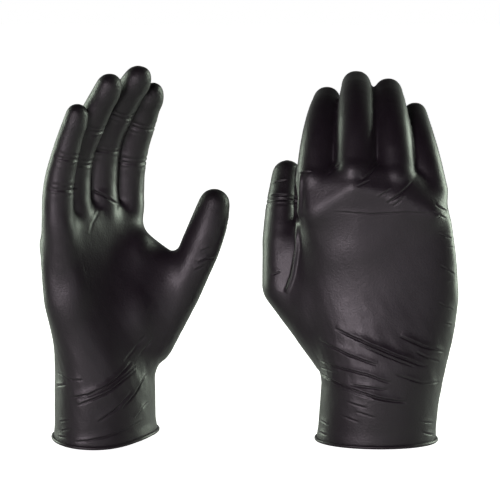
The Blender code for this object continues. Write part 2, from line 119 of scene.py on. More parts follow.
# The palm as ovals: half width, half depth, middle (across, out of the palm) and height.
# Pads are balls: middle, then radii across, out and up. Stalls free themselves at the webs.
PALM = {
    "palm_glove": {
        "ovals": (
            (34.2, 25.8, 1.3, 0.0, 0.0),
            (33.0, 24.8, 1.0, 0.0, 8.0),
            (32.8, 24.6, 1.0, 0.0, 30.0),
            (33.0, 24.0, 1.2, 0.0, 44.0),
            (34.6, 20.5, 0.3, -0.6, 60.0),
            (38.0, 17.0, -2.4, -3.5, 82.0),
            (39.0, 14.0, -2.4, -6.0, 106.0),
            (37.5, 12.0, -2.5, -7.5, 121.0),
            (32.0, 9.5, 0.5, -8.0, 134.0),
        ),
        "pads": (
            ((18.0, 11.0, 68.0), (22.0, 16.0, 30.0)),
            ((-24.0, -1.0, 82.0), (13.5, 12.5, 34.0)),
            ((22.0, 6.0, 94.0), (17.0, 13.0, 28.0)),
        ),
        "thumb_base": ((23.0, 13.5, 57.0), (35.0, 26.0, 84.0)),
        "web": (
            (15.0, 5.0, 64.0, 12.0),
            (15.0, -1.0, 98.0, 10.0),
            (29.0, -3.0, 90.0, 10.0),
            (34.0, 24.0, 84.0, 12.0),
            (38.0, 28.0, 93.0, 9.0),
            (26.0, -3.0, 113.0, 9.5),
        ),
    },
    "back_glove": {
        "ovals": (
            (34.7, 26.0, 1.3, 0.0, 0.0),
            (34.0, 25.2, 0.7, 0.0, 8.0),
            (34.2, 25.0, -0.4, 0.0, 22.0),
            (34.8, 24.8, -1.9, 0.0, 34.0),
            (36.9, 24.0, -2.4, 0.0, 46.0),
            (41.5, 21.0, -1.8, 0.0, 62.0),
            (45.0, 17.0, -1.2, 0.0, 84.0),
            (43.4, 14.5, -1.0, 0.0, 108.0),
            (42.0, 13.0, 0.5, 0.0, 128.0),
            (39.0, 12.0, 2.4, 0.5, 144.0),
        ),
        "pads": (
            ((28.0, 6.0, 76.0), (26.0, 16.0, 30.0)),
            ((-23.5, 5.0, 84.0), (20.0, 18.5, 42.0)),
            ((6.0, -3.0, 110.0), (34.0, 12.5, 42.0)),
        ),
        "thumb_base": ((24.2, 5.0, 50.0), (56.0, 12.0, 87.0)),
        "web": (
            (30.0, 5.0, 62.0, 12.0),
            (34.0, 6.0, 100.0, 9.0),
            (53.0, 14.0, 90.0, 10.5),
            (54.0, 18.0, 108.0, 8.5),
            (37.0, 8.0, 128.0, 7.0),
        ),
    },
}
# The film between neighbouring stalls: their names and the height of the web's edge
FINGER_WEBS = {
    "palm_glove": (("little", "ring", 127.0), ("ring", "middle", 137.0), ("middle", "index", 135.0)),
    "back_glove": (("little", "ring", 147.5), ("ring", "middle", 157.0), ("middle", "index", 152.5)),
}
WEB_HALF = 5.0  # a web's half thickness
# The knuckles' row in the palm: its height, how far out of the palm it lies, its half thickness
KNUCKLE_LINE = {"palm_glove": (116.0, -6.5, 10.5), "back_glove": (132.0, -2.5, 11.0)}
# How far the bead's edge stands off the table at the front, the sides and the back
EDGE_RISE = {"palm_glove": (0.6, 3.6, 2.4), "back_glove": (0.3, 0.0, 0.6)}
EDGE_REACH = 26.0  # how far up the cuff that lift fades out
TAUT_STEPS = 140  # how often the film of the palm and the back is smoothed
BRIDGE_ROUNDS, BRIDGE_STEPS = 16, 40  # how often it is then pulled over its hollows
STALL_SMOOTH_STEPS = 16  # and then the whole film is smoothed
KNUCKLE_DROP = 30.0  # from a stall's root down to the start of its ridge in the palm
KNUCKLE_SPREAD = 1.2  # that ridge's start against the stall's root
THUMB_SPREAD = 1.3  # the ball of the thumb against its root

# Where the free part of each stall starts, above its root joint
WEB_ABOVE = {
    "palm_glove": {"index": 3.0, "middle": 4.0, "ring": 3.0, "little": 3.0, "thumb": 3.0},
    "back_glove": {"index": 8.0, "middle": 8.0, "ring": 7.0, "little": 7.0, "thumb": 3.0},
}


# The pull folds: a line of (x from the cuff's middle, height), how wide its ridge is and how high
# it stands. Lines run from left to right, and the underside of a ridge is its steep one.
FOLDS = {
    ("palm_glove", "front"): (
        (((-17, 31), (-7, 33.3), (2, 37.4), (9, 42), (16, 49)), 1.0, 0.85),
        (((-12, 30.4), (4, 36.5), (18.5, 46.6)), 0.9, 0.6),
        (((-13.5, 26.9), (3, 33.4), (18.5, 44.3)), 1.0, 0.75),
        (((-2.3, 17), (8, 24), (16, 32.7)), 1.1, 0.55),
        (((11, 23.4), (18, 31), (24, 40.3)), 1.0, 0.6),
        (((-15, 4.8), (0, 7.5), (12, 10), (22.4, 13)), 0.9, 0.45),
        (((-24, 15), (-18, 17.5)), 0.7, 0.35),
        (((-23, 9), (-17, 12.5)), 0.7, 0.35),
        (((-25, 5), (-19, 6)), 0.7, 0.3),
        (((-26, 36), (-20, 38)), 0.8, 0.4),
        (((-25, 44), (-16, 41), (-10, 41.5)), 0.9, 0.3),
        (((18, 16), (25, 24)), 0.8, 0.35),
        (((20, 52), (29, 62)), 1.2, 0.35),
        (((12, 50), (24, 64)), 1.2, 0.3),
        (((-6, 146), (1, 143), (8.7, 137)), 1.0, 0.5),
        (((-7.5, 122), (-6, 128), (-2.6, 134)), 1.4, 0.2),
        (((54, 104), (59, 106.5), (63.5, 106)), 0.8, 0.7),
        (((52, 100), (58, 102)), 0.8, 0.4),
        (((56, 111), (62, 113)), 0.8, 0.3),
    ),
    ("palm_glove", "rear"): (
        (((-22, 46), (-6, 40), (12, 41), (26, 48)), 1.1, 0.7),
        (((-24, 38), (-8, 33), (10, 34)), 1.1, 0.6),
        (((-4, 52), (12, 47), (27, 55)), 1.0, 0.5),
        (((-20, 20), (-4, 16), (12, 19)), 1.0, 0.4),
        (((4, 26), (20, 22)), 1.0, 0.4),
        (((-30, 118), (-18, 124)), 1.0, 0.35),
        (((-12, 128), (2, 131)), 1.0, 0.35),
    ),
    ("back_glove", "front"): (
        (((-25.5, 68.5), (-8, 61), (8, 54.5), (26.5, 47.5)), 1.1, 1.0),
        (((-12, 60.2), (4, 53.5), (20, 47.3)), 0.8, 0.5),
        (((-34.5, 60.5), (-18, 54), (-2, 49)), 1.0, 0.8),
        (((-35.4, 49), (-22, 46), (-8, 43.5), (5.5, 39)), 1.0, 0.85),
        (((-38, 42), (-24, 37.5), (-10, 33), (2, 29.6), (14.5, 28)), 1.25, 1.3),
        (((-30, 37), (-16, 33), (-4, 29.5)), 0.8, 0.45),
        (((11, 65.2), (24, 59), (36.3, 54.8)), 1.0, 0.75),
        (((20, 56), (34, 49)), 0.9, 0.4),
        (((-33.7, 44.5), (-23.6, 43)), 0.8, 0.4),
        (((-17, 37.4), (3.3, 35)), 0.8, 0.45),
        (((8, 44), (24, 38), (34, 37)), 0.9, 0.45),
        (((-19, 27), (-8, 24.5)), 0.9, 0.25),
        (((-14, 22), (-3, 19)), 0.9, 0.22),
        (((-22, 19), (-12, 16)), 0.9, 0.2),
        (((22, 16), (31, 13)), 0.8, 0.3),
        (((24, 9), (31, 6)), 0.8, 0.3),
        (((-36, 14), (-29, 12)), 0.8, 0.3),
        (((-36, 7), (-30, 6)), 0.8, 0.25),
        (((-11.4, 152.6), (-6, 157), (-1.3, 162)), 1.0, 0.65),
        (((-14, 149), (-7, 152.5)), 0.8, 0.3),
        (((2.7, 139.8), (10, 145), (16.8, 151)), 1.0, 0.65),
        (((6, 138), (13, 143.5)), 0.8, 0.35),
        (((-2, 143), (5, 148)), 0.8, 0.3),
        (((-30.6, 155), (-23.3, 161)), 0.9, 0.45),
        (((-26, 134.5), (-4, 133.5), (14, 134.5), (31, 133.5)), 0.7, 0.3),
        (((31, 138.5), (38, 134)), 0.8, 0.45),
        (((31, 131), (38, 134.5)), 0.8, 0.45),
        (((29, 135), (37.5, 130)), 0.7, 0.35),
        (((-46, 156), (-39, 156.5)), 0.8, 0.3),
        (((33, 122), (41, 118.5)), 0.7, 0.3),
        (((37, 114), (42, 113.5)), 0.6, 0.2),
        (((34, 104), (43, 98)), 0.8, 0.3),
        (((38, 94), (43, 95)), 0.6, 0.2),
        (((33, 83), (42, 78)), 0.7, 0.28),
        (((36, 71), (41, 69)), 0.6, 0.25),
        (((-55, 86), (-51.5, 96), (-49, 110), (-47.6, 130), (-47.2, 156)), 2.0, -1.5),
        (((-62, 96), (-57, 98)), 0.9, 0.3),
        (((-62, 140), (-54, 141)), 0.8, 0.4),
        (((-61, 147), (-53, 149)), 0.8, 0.4),
    ),
    ("back_glove", "rear"): (
        (((-28, 52), (-10, 45), (8, 46), (26, 54)), 1.1, 0.7),
        (((-24, 42), (-6, 37), (12, 38)), 1.1, 0.6),
        (((-8, 58), (10, 53), (28, 60)), 1.0, 0.5),
        (((-26, 22), (-8, 17), (12, 20)), 1.0, 0.4),
        (((4, 30), (24, 25)), 1.0, 0.4),
        (((-44, 92), (-30, 104)), 1.2, 0.5),
        (((-50, 84), (-36, 96)), 1.2, 0.4),
        (((-28, 140), (-14, 146)), 1.0, 0.4),
        (((2, 146), (16, 142)), 1.0, 0.4),
    ),
}
FOLD_WANDER = 0.2  # how far a fold strays from its line
SLACK_LIFT = 0.12  # the height of the film's faint unevenness


def linear(hex_colour):
    """A linear RGBA colour from sRGB hex."""
    parts = [int(hex_colour[i : i + 2], 16) / 255.0 for i in (1, 3, 5)]
    return (*[c / 12.92 if c <= 0.04045 else ((c + 0.055) / 1.055) ** 2.4 for c in parts], 1.0)


def deselect_all():
    for obj in bpy.data.objects:
        obj.select_set(False)


class Glove:
    """A glove's axes, joints and stalls, in millimetres, all worked out from the frame."""

    def __init__(self, side):
        self.side = side
        self.joints = {j["name"]: j for j in frame["joints"] if j["name"].startswith(side)}
        wrist = self.joints[f"{side}_wrist_bend"]
        self.across = Vector(wrist["axis"]).normalized()
        self.up = Vector((0.0, 0.0, 1.0))
        self.out = self.across.cross(self.up).normalized()
        self.wrist = Vector(wrist["pos_m"]) / MM
        self.foot = Vector((self.wrist.x, self.wrist.y, 0.0))
        self.halves = STALL_HALF[side]
        self.stalls = {}
        for finger in FINGERS:
            self.stalls[finger] = self.stall(finger, ("root", "middle", "tip"))
        self.stalls["thumb"] = self.stall("thumb", ("root", "tip"))

    def stall(self, finger, zones):
        """The points of a stall from its root joint to its tip, and its joints' axis."""
        named = [self.joints[f"{self.side}_{finger}_{zone}_bend"] for zone in zones]
        points = [Vector(j["pos_m"]) / MM for j in named]
        last = frame["nodes"][f"{self.side}_{finger}_tip"].data
        points.append(max((v.co / MM for v in last.vertices), key=lambda p: (p - points[-1]).length))
        nudges = NUDGES[self.side].get(finger, ((0.0, 0.0, 0.0),) * len(points))
        form = [p + self.offset(nudge) for p, nudge in zip(points, nudges)]
        axis = Vector(named[0]["axis"]).normalized()
        return {"points": points, "form": form, "axis": axis, "zones": zones}

    def offset(self, wnu):
        w, n, u = wnu
        return self.across * w + self.out * n + self.up * u

    def place(self, wnu):
        return self.foot + self.offset(wnu)

    def turned(self):
        """A rotation whose X is across, Y is out of the back and Z is up."""
        return Matrix((self.across, -self.out, self.up)).transposed()


def facing(way, axis):
    """A rotation whose Z points along a stall and X along its joints' axis."""
    along = way.normalized()
    side = (axis - along * axis.dot(along)).normalized()
    return Matrix((side, along.cross(side), along)).transposed()


def add_ball(place, radii, turned):
    bpy.ops.mesh.primitive_uv_sphere_add(segments=28, ring_count=18, radius=1.0)
    ball = bpy.context.object
    ball.data.transform(Matrix.Translation(place) @ turned.to_4x4() @ Matrix.Diagonal((*radii, 1.0)))
    return ball


def add_limb(start, end, start_half, end_half, depth, axis, balls=True):
    """An oval cone with round ends, between two joints."""
    turned = facing(end - start, axis)
    bpy.ops.mesh.primitive_cone_add(
        vertices=32, radius1=start_half, radius2=end_half, depth=(end - start).length
    )
    cone = bpy.context.object
    squeeze = Matrix.Diagonal((1.0, depth, 1.0, 1.0))
    cone.data.transform(Matrix.Translation((start + end) / 2) @ turned.to_4x4() @ squeeze)
    made = [cone]
    for joint, half in ((start, start_half), (end, end_half)) if balls else ():
        made.append(add_ball(joint, (half, half * depth, half), turned))
    return made


def add_chain(line, depth, axis):
    """Limbs along a line of (point, half width), with one ball at each point."""
    made = []
    for number, ((start, low), (end, high)) in enumerate(zip(line, line[1:])):
        made += add_limb(start, end, low, high, depth, axis, balls=number == 0)
        if number:
            made.append(add_ball(end, (high, high * depth, high), facing(end - start, axis)))
    return made


def add_oval_length(glove, low, high):
    """The stretch of palm or cuff between two ovals."""
    bpy.ops.mesh.primitive_cylinder_add(vertices=64, radius=1.0, depth=1.0)
    length = bpy.context.object
    turned = glove.turned()
    for vertex in length.data.vertices:
        half_width, half_depth, w, n, u = low if vertex.co.z < 0 else high
        spread = Vector((vertex.co.x * half_width, vertex.co.y * half_depth, 0.0))
        vertex.co = glove.place((w, n, u)) + turned @ spread
    return length


def rounded(chain, halves):
    """Cuts the corners off a stall's line of points, as film rounds a bend."""
    line = [np.array((*point, half)) for point, half in zip(chain, halves)]
    for _ in range(2):
        cut = [line[0]]
        for start, end in zip(line, line[1:]):
            cut += [start * 0.75 + end * 0.25, start * 0.25 + end * 0.75]
        line = cut + [line[-1]]
    return [(Vector(place[:3]), float(place[3])) for place in line]


def add_stall_form(glove, finger):
    """The former of one finger: its ridge in the palm, its bones, and the pad of its tip."""
    stall = glove.stalls[finger]
    points, axis = stall["form"], stall["axis"]
    halves = glove.halves[finger]
    ovals = PALM[glove.side]["ovals"]
    row = ovals[-2]
    root = points[0] - glove.foot
    w, n, u = root.dot(glove.across), root.dot(glove.out), root.z
    base = glove.place((row[2] + (w - row[2]) * 0.82, row[3] + (n - row[3]) * 0.7, u - KNUCKLE_DROP))
    made = add_limb(base, points[0], halves[0] * KNUCKLE_SPREAD, halves[0], 1.0, axis)
    end_way = (points[3] - points[2]).normalized()
    tip_middle = points[3] - end_way * halves[3] * 1.05
    chain = [points[0], points[1], points[2], tip_middle]
    made += add_chain(rounded(chain, halves), STALL_DEPTH, axis)
    turned = facing(end_way, axis)
    pulp = points[2] + (points[3] - points[2]) * 0.58 - turned.col[1] * halves[3] * 0.08
    made.append(add_ball(pulp, (halves[3] * 1.06, halves[3] * 0.95, halves[3] * 1.6), turned))
    return made


def add_thumb_form(glove):
    stall = glove.stalls["thumb"]
    points, axis = stall["form"], stall["axis"]
    root, middle, end = glove.halves["thumb"]
    base, knuckle = (glove.place(p) for p in PALM[glove.side]["thumb_base"])
    made = add_limb(base, knuckle, root * THUMB_SPREAD, root * 1.08, STALL_DEPTH, axis)
    made += add_limb(knuckle, points[0], root * 1.08, root, STALL_DEPTH, axis)
    made.append(add_web(glove))
    end_way = (points[2] - points[1]).normalized()
    chain = (knuckle, points[0], points[1], points[2] - end_way * end)
    made += add_chain(rounded(chain, (root, root, middle, end)), STALL_DEPTH, axis)
    return made


def add_web(glove):
    """The film stretched from the thumb to the palm's side: the hull of a ball at each corner."""
    balls = []
    for w, n, u, half in PALM[glove.side]["web"]:
        balls.append(add_ball(glove.place((w, n, u)), (half, half, half), glove.turned()))
    return stretch(balls)


def stretch(balls):
    """One taut film over a group of balls."""
    hull = join(balls)
    bpy.ops.object.mode_set(mode="EDIT")
    bpy.ops.mesh.select_all(action="SELECT")
    bpy.ops.mesh.convex_hull()
    bpy.ops.object.mode_set(mode="OBJECT")
    return hull


def add_knuckles(glove):
    """The film stretched across the knuckles, up to the webs between the stalls."""
    low, centre, half = KNUCKLE_LINE[glove.side]
    balls = []
    for first, second, height in FINGER_WEBS[glove.side]:
        for finger in (first, second):
            root, middle = glove.stalls[finger]["form"][:2]
            way = (middle - root).normalized()
            top = root + way * ((height - WEB_HALF - 1.0 - root.z) / way.z)
            radius = glove.halves[finger][0] * 0.84
            balls.append(add_ball(top, (radius,) * 3, glove.turned()))
            w = (root - glove.foot).dot(glove.across)
            knuckle = glove.place((w * 0.94, centre, low))
            radius = min(half, glove.halves[finger][0] * 1.05)
            balls.append(add_ball(knuckle, (radius,) * 3, glove.turned()))
    return stretch(balls)


def add_finger_webs(glove):
    made = []
    for first, second, height in FINGER_WEBS[glove.side]:
        for drop, half in ((1.0, WEB_HALF), (2.6, WEB_HALF * 1.3)):
            ends = []
            for finger in (first, second):
                root, middle = glove.stalls[finger]["form"][:2]
                way = (middle - root).normalized()
                ends.append(root + way * ((height - WEB_HALF * drop - root.z) / way.z))
            made += add_limb(*ends, half, half, 1.0, glove.out)
    return made


def join(objects):
    deselect_all()
    for obj in objects:
        obj.select_set(True)
    bpy.context.view_layer.objects.active = objects[0]
    bpy.ops.object.join()
    return objects[0]


def apply_modifier(obj, kind, **settings):
    bpy.context.view_layer.objects.active = obj
    modifier = obj.modifiers.new(kind.lower(), kind)
    for name, value in settings.items():
        setattr(modifier, name, value)
    bpy.ops.object.modifier_apply(modifier=modifier.name)


def make_skin(glove):
    """The glove's whole outer skin, closed, before its folds."""
    ovals = PALM[glove.side]["ovals"]
    made = [add_oval_length(glove, low, high) for low, high in zip(ovals, ovals[1:])]
    for centre, radii in PALM[glove.side]["pads"]:
        made.append(add_ball(glove.place(centre), radii, glove.turned()))
    for finger in FINGERS:
        made += add_stall_form(glove, finger)
    made += add_thumb_form(glove) + add_finger_webs(glove) + [add_knuckles(glove)]
    skin = join(made)
    skin.name = f"{glove.side}_skin"
    apply_modifier(skin, "REMESH", mode="VOXEL", voxel_size=PITCH)
    apply_modifier(skin, "SMOOTH", factor=0.5, iterations=12)
    tauten(glove, skin)
    return skin


def tauten(glove, skin):
    """Lets the film of the palm and the back pull flat over its hollows, away from the stalls."""
    points = read_points(skin.data)
    slack = smooth_step(glove.wrist.z - 14.0, glove.wrist.z + 8.0, points[:, 2])
    for finger, stall in glove.stalls.items():
        chain = stall["form"]
        way = np.array((chain[1] - chain[0]).normalized())
        run = points - np.array(chain[0])
        above = run @ way
        gap = np.linalg.norm(run - np.outer(above, way), axis=1)
        held = smooth_step(-5.0, 6.0, above)
        if finger == "thumb":
            held *= gap < glove.halves[finger][0] * 1.35
        slack *= 1.0 - held
    group = skin.vertex_groups.new(name="taut")
    for weight in range(1, 11):
        share = weight / 10.0
        chosen = np.nonzero(np.abs(slack - share) <= 0.05)[0]
        group.add([int(i) for i in chosen], share, "REPLACE")
    apply_modifier(skin, "SMOOTH", factor=0.5, iterations=TAUT_STEPS, vertex_group="taut")
    skin.vertex_groups.clear()
    bridge_hollows(skin.data, slack)
    apply_modifier(skin, "SMOOTH", factor=0.5, iterations=STALL_SMOOTH_STEPS)


def bridge_hollows(mesh, slack):
    """Pulls the film straight across hollows but never into the hand, which no modifier does."""
    points = read_points(mesh)
    ends = np.zeros(len(mesh.edges) * 2, int)
    mesh.edges.foreach_get("vertices", ends)
    here, there = ends[0::2], ends[1::2]
    count = np.bincount(ends, minlength=len(points))
    for _ in range(BRIDGE_ROUNDS):
        normals = read_normals(mesh)
        for _ in range(BRIDGE_STEPS):
            middle = np.column_stack([
                np.bincount(here, points[there, axis], len(points))
                + np.bincount(there, points[here, axis], len(points))
                for axis in range(3)
            ])
            pull = middle / count[:, None] - points
            outward = (pull * normals).sum(axis=1) > 0.0
            points += pull * (0.5 * outward * slack)[:, None]
        write_points(mesh, points)


def read_points(mesh):
    points = np.zeros(len(mesh.vertices) * 3)
    mesh.vertices.foreach_get("co", points)
    return points.reshape(-1, 3)


def read_normals(mesh):
    normals = np.zeros(len(mesh.vertices) * 3)
    mesh.vertex_normals.foreach_get("vector", normals)
    return normals.reshape(-1, 3)


def write_points(mesh, points):
    mesh.vertices.foreach_set("co", points.astype(np.float32).ravel())
    mesh.update()


def along_line(points, line):
    """Each point's distance from a line of points, signed by side, and its share along the line."""
    best = np.full(len(points), 1e9)
    signed = np.zeros(len(points))
    share = np.zeros(len(points))
    line = np.asarray(line, float)
    runs = np.linalg.norm(np.diff(line, axis=0), axis=1)
    total = runs.sum()
    done = 0.0
    for start, end, run in zip(line, line[1:], runs):
        way = (end - start) / run
        offset = points - start
        t = np.clip(offset @ way, 0.0, run)
        gap = offset - np.outer(t, way)
        distance = np.linalg.norm(gap, axis=1)
        nearer = distance < best
        best[nearer] = distance[nearer]
        side = np.sign(way[0] * offset[:, 1] - way[1] * offset[:, 0])
        signed[nearer] = (distance * side)[nearer]
        share[nearer] = ((done + t) / total)[nearer]
        done += run
    return signed, share


def smooth_step(low, high, values):
    t = np.clip((values - low) / (high - low), 0.0, 1.0)
    return t * t * (3.0 - 2.0 * t)


def waves(places, step, seed):
    """A smooth unevenness between -1 and 1, from crossing waves about a step apart."""
    total = np.zeros(len(places))
    for number in range(5):
        turn = seed + number * 2.4
        way = np.array((cos(turn), sin(turn), 0.6 * sin(turn * 1.7)))[: places.shape[1]]
        total += np.sin(places @ way * (2.0 * pi / (step * (0.7 + 0.23 * number))) + turn * 3.1)
    return total / 5.0


def fold_places(glove, points, facing_side):
    """The points of a glove as its folds' lines count them, straying a little."""
    flat = np.column_stack((points[:, 0] - glove.foot.x, points[:, 2]))
    flat[:, 1] += waves(flat, 11.0, 3.7 if facing_side == "front" else 9.1) * FOLD_WANDER
    return flat


def refine_folds(glove, skin):
    """Divides the skin's faces more finely along the folds."""
    mesh = skin.data
    points, normals = read_points(mesh), read_normals(mesh)
    near = np.zeros(len(points), bool)
    for facing_side, sign in (("front", -1.0), ("rear", 1.0)):
        flat = fold_places(glove, points, facing_side)
        for line, width, _ in FOLDS[(glove.side, facing_side)]:
            signed, _ = along_line(flat, line)
            near |= (np.abs(signed) < width * 2.6) & (normals[:, 1] * sign > 0.02)
    corners = np.zeros(len(mesh.loops), int)
    mesh.loops.foreach_get("vertex_index", corners)
    starts = np.zeros(len(mesh.polygons), int)
    mesh.polygons.foreach_get("loop_start", starts)
    chosen = np.add.reduceat(near[corners].astype(int), starts) > 1
    mesh.vertices.foreach_set("select", np.zeros(len(mesh.vertices), bool))
    mesh.edges.foreach_set("select", np.zeros(len(mesh.edges), bool))
    mesh.polygons.foreach_set("select", chosen)
    deselect_all()
    bpy.context.view_layer.objects.active = skin
    bpy.context.tool_settings.mesh_select_mode = (False, False, True)
    bpy.ops.object.mode_set(mode="EDIT")
    bpy.ops.mesh.subdivide(number_cuts=1)
    bpy.ops.object.mode_set(mode="OBJECT")


def raise_folds(glove, points, normals):
    lift = np.zeros(len(points))
    for facing_side, sign in (("front", -1.0), ("rear", 1.0)):
        seen = smooth_step(0.02, 0.3, normals[:, 1] * sign)
        flat = fold_places(glove, points, facing_side)
        for line, width, height in FOLDS[(glove.side, facing_side)]:
            signed, share = along_line(flat, line)
            fade = np.sin(np.clip(share, 0.0, 1.0) * pi) ** 0.55
            ridge = np.exp(-np.abs(signed / np.where(signed > 0.0, width * 1.8, width * 0.45)) ** 1.4)
            trough = np.exp(-(((signed + 0.95 * width) / (0.5 * width)) ** 2))
            lift += height * fade * seen * (0.9 * ridge - 1.15 * trough)
    slack = waves(points, 17.0, 1.3) + 0.5 * waves(points, 6.0, 5.2)
    near_wrist = np.exp(-(((points[:, 2] - glove.wrist.z) / 22.0) ** 2))
    lift += slack * SLACK_LIFT * (0.5 + 1.8 * near_wrist)
    return points + normals * lift[:, None]


def crease_stalls(glove, points, normals):
    """The creases on the palm side of each bend, and the slack that gathers beside them."""
    lift = np.zeros(len(points))
    for finger, stall in glove.stalls.items():
        chain = stall["points"]
        for step in range(1, len(chain) - 1):
            joint = np.array(chain[step])
            before = (chain[step] - chain[step - 1]).normalized()
            after = (chain[step + 1] - chain[step]).normalized()
            way = (before + after).normalized()
            out = np.array(stall["axis"].cross(way))
            run = points - joint
            along = run @ np.array(way)
            gap = np.linalg.norm(run - np.outer(along, np.array(way)), axis=1)
            near = 1.0 - smooth_step(11.0, 14.0, gap)
            palm_side = smooth_step(-0.2, 0.6, normals @ out)
            for shift, width, depth in ((0.0, 0.8, 1.1), (2.4, 0.8, 0.6), (-2.6, 0.9, 0.3)):
                valley = np.exp(-(((along - shift) / width) ** 2))
                lift -= depth * valley * near * palm_side
            lift += 0.45 * np.exp(-((along / 4.5) ** 2)) * near * palm_side
    return points + normals * lift[:, None]


def shape_skin(glove, skin):
    refine_folds(glove, skin)
    mesh = skin.data
    points = read_points(mesh)
    points = crease_stalls(glove, points, read_normals(mesh))
    write_points(mesh, points)
    points = raise_folds(glove, points, read_normals(mesh))
    write_points(mesh, points)


def note_normals(mesh):
    """Keeps the whole skin's shading normals with its points, for the pieces to be cut from it."""
    kept = mesh.attributes.new("film_normal", "FLOAT_VECTOR", "POINT")
    kept.data.foreach_set("vector", read_normals(mesh).astype(np.float32).ravel())


def note_grip(glove, mesh):
    """Marks how far each point lies in the textured ends of the stalls."""
    points = read_points(mesh)
    grip = np.zeros(len(points))
    for stall in glove.stalls.values():
        chain = stall["form"]
        way = np.array((chain[-1] - chain[-2]).normalized())
        run = points - np.array(chain[-2])
        above = run @ way
        gap = np.linalg.norm(run - np.outer(above, way), axis=1)
        grip = np.maximum(grip, smooth_step(-10.0, 16.0, above) * (1.0 - smooth_step(11.0, 14.0, gap)))
    kept = mesh.attributes.new("grip", "FLOAT", "POINT")
    kept.data.foreach_set("value", grip.astype(np.float32))


def nearest_stalls(glove, points):
    """The number of the stall nearest to each point, and how far it is in the stall's half widths."""
    best = np.full(len(points), 1e9)
    number = np.zeros(len(points), int)
    for index, (finger, stall) in enumerate(glove.stalls.items()):
        chain = [np.array(place) for place in stall["points"]]
        for start, end in zip(chain, chain[1:]):
            way = end - start
            t = np.clip((points - start) @ way / (way @ way), 0.0, 1.0)
            gap = np.linalg.norm(points - start - t[:, None] * way, axis=1)
            gap /= glove.halves[finger][0]
            number[gap < best] = index
            best = np.minimum(best, gap)
    return number, best


def read_centres(mesh):
    centres = np.zeros(len(mesh.polygons) * 3)
    mesh.polygons.foreach_get("center", centres)
    return centres.reshape(-1, 3)


def cut_lines(glove, finger):
    """The planes where a stall's pieces meet, as (point, direction), from the web to the tip."""
    chain = glove.stalls[finger]["points"]
    ways = [(b - a).normalized() for a, b in zip(chain, chain[1:])]
    planes = [(chain[0] + ways[0] * WEB_ABOVE[glove.side][finger], ways[0])]
    for step in range(len(ways) - 1):
        planes.append(((chain[step] + chain[step + 1]) / 2 + ways[step] * 2.0, ways[step]))
    return planes


def cut_at_planes(glove, mesh):
    """Cuts the skin along the planes between its pieces."""
    centres = read_centres(mesh)
    nearest, _ = nearest_stalls(glove, centres)
    planes = []
    for level in (BEAD_TOP, glove.wrist.z - WRIST_BLEND, glove.wrist.z + WRIST_BLEND):
        near = np.abs(centres[:, 2] - level) < 3.0
        planes.append((Vector((0.0, 0.0, level)), glove.up, near))
    for number, finger in enumerate(glove.stalls):
        reach = glove.halves[finger][0] * 2.0
        for point, way in cut_lines(glove, finger):
            run = centres - np.array(point)
            near = (np.linalg.norm(run, axis=1) < reach) & (np.abs(run @ np.array(way)) < 3.0)
            planes.append((point, way, near & (nearest == number)))
    shape = bmesh.new()
    shape.from_mesh(mesh)
    shape.faces.ensure_lookup_table()
    chosen = [[shape.faces[i] for i in np.nonzero(near)[0]] for _, _, near in planes]
    for (point, way, _), faces in zip(planes, chosen):
        edges = {edge for face in faces for edge in face.edges}
        verts = {vert for face in faces for vert in face.verts}
        geom = list(verts) + list(edges) + faces
        bmesh.ops.bisect_plane(shape, geom=geom, dist=1e-4, plane_co=point, plane_no=way)
    shape.to_mesh(mesh)
    shape.free()


def number_pieces(glove, mesh):
    """The name of every piece, and the number of the piece that each face belongs to."""
    centres = read_centres(mesh)
    nearest, gap = nearest_stalls(glove, centres)
    names = ["waste", "cuff", "wrist", "hand"]
    levels = (BEAD_TOP, glove.wrist.z - WRIST_BLEND, glove.wrist.z + WRIST_BLEND)
    zone = sum((centres[:, 2] > level).astype(int) for level in levels)
    for number, (finger, stall) in enumerate(glove.stalls.items()):
        owned = (zone == 3) & (nearest == number) & (gap < 1.7)
        sides = [(centres - np.array(p)) @ np.array(way) > 0.0 for p, way in cut_lines(glove, finger)]
        above = sum(side.astype(int) for side in sides)
        free = sides[0]
        for step, part in enumerate(stall["zones"]):
            names.append(f"{finger}_{part}")
            zone[owned & free & (above == step + 1)] = len(names) - 1
    return names, zone


def cut_skin(glove, skin):
    """Cuts the skin into pieces: the cuff, the wrist, the hand and each part of every stall."""
    mesh = skin.data
    cut_at_planes(glove, mesh)
    names, zone = number_pieces(glove, mesh)
    mesh.transform(Matrix.Scale(MM, 4))
    mesh.attributes.new("zone", "INT", "FACE").data.foreach_set("value", zone)
    for _ in names:
        mesh.materials.append(None)
    mesh.polygons.foreach_set("material_index", zone)
    deselect_all()
    skin.select_set(True)
    bpy.context.view_layer.objects.active = skin
    bpy.ops.object.mode_set(mode="EDIT")
    bpy.ops.mesh.separate(type="MATERIAL")
    bpy.ops.object.mode_set(mode="OBJECT")
    pieces = {}
    for part in list(bpy.context.selected_objects):
        name = names[part.data.attributes["zone"].data[0].value]
        part.data.materials.clear()
        part.name = part.data.name = f"{glove.side}_{name}_film"
        pieces[name] = part
    bpy.data.objects.remove(pieces.pop("waste"))
    return pieces


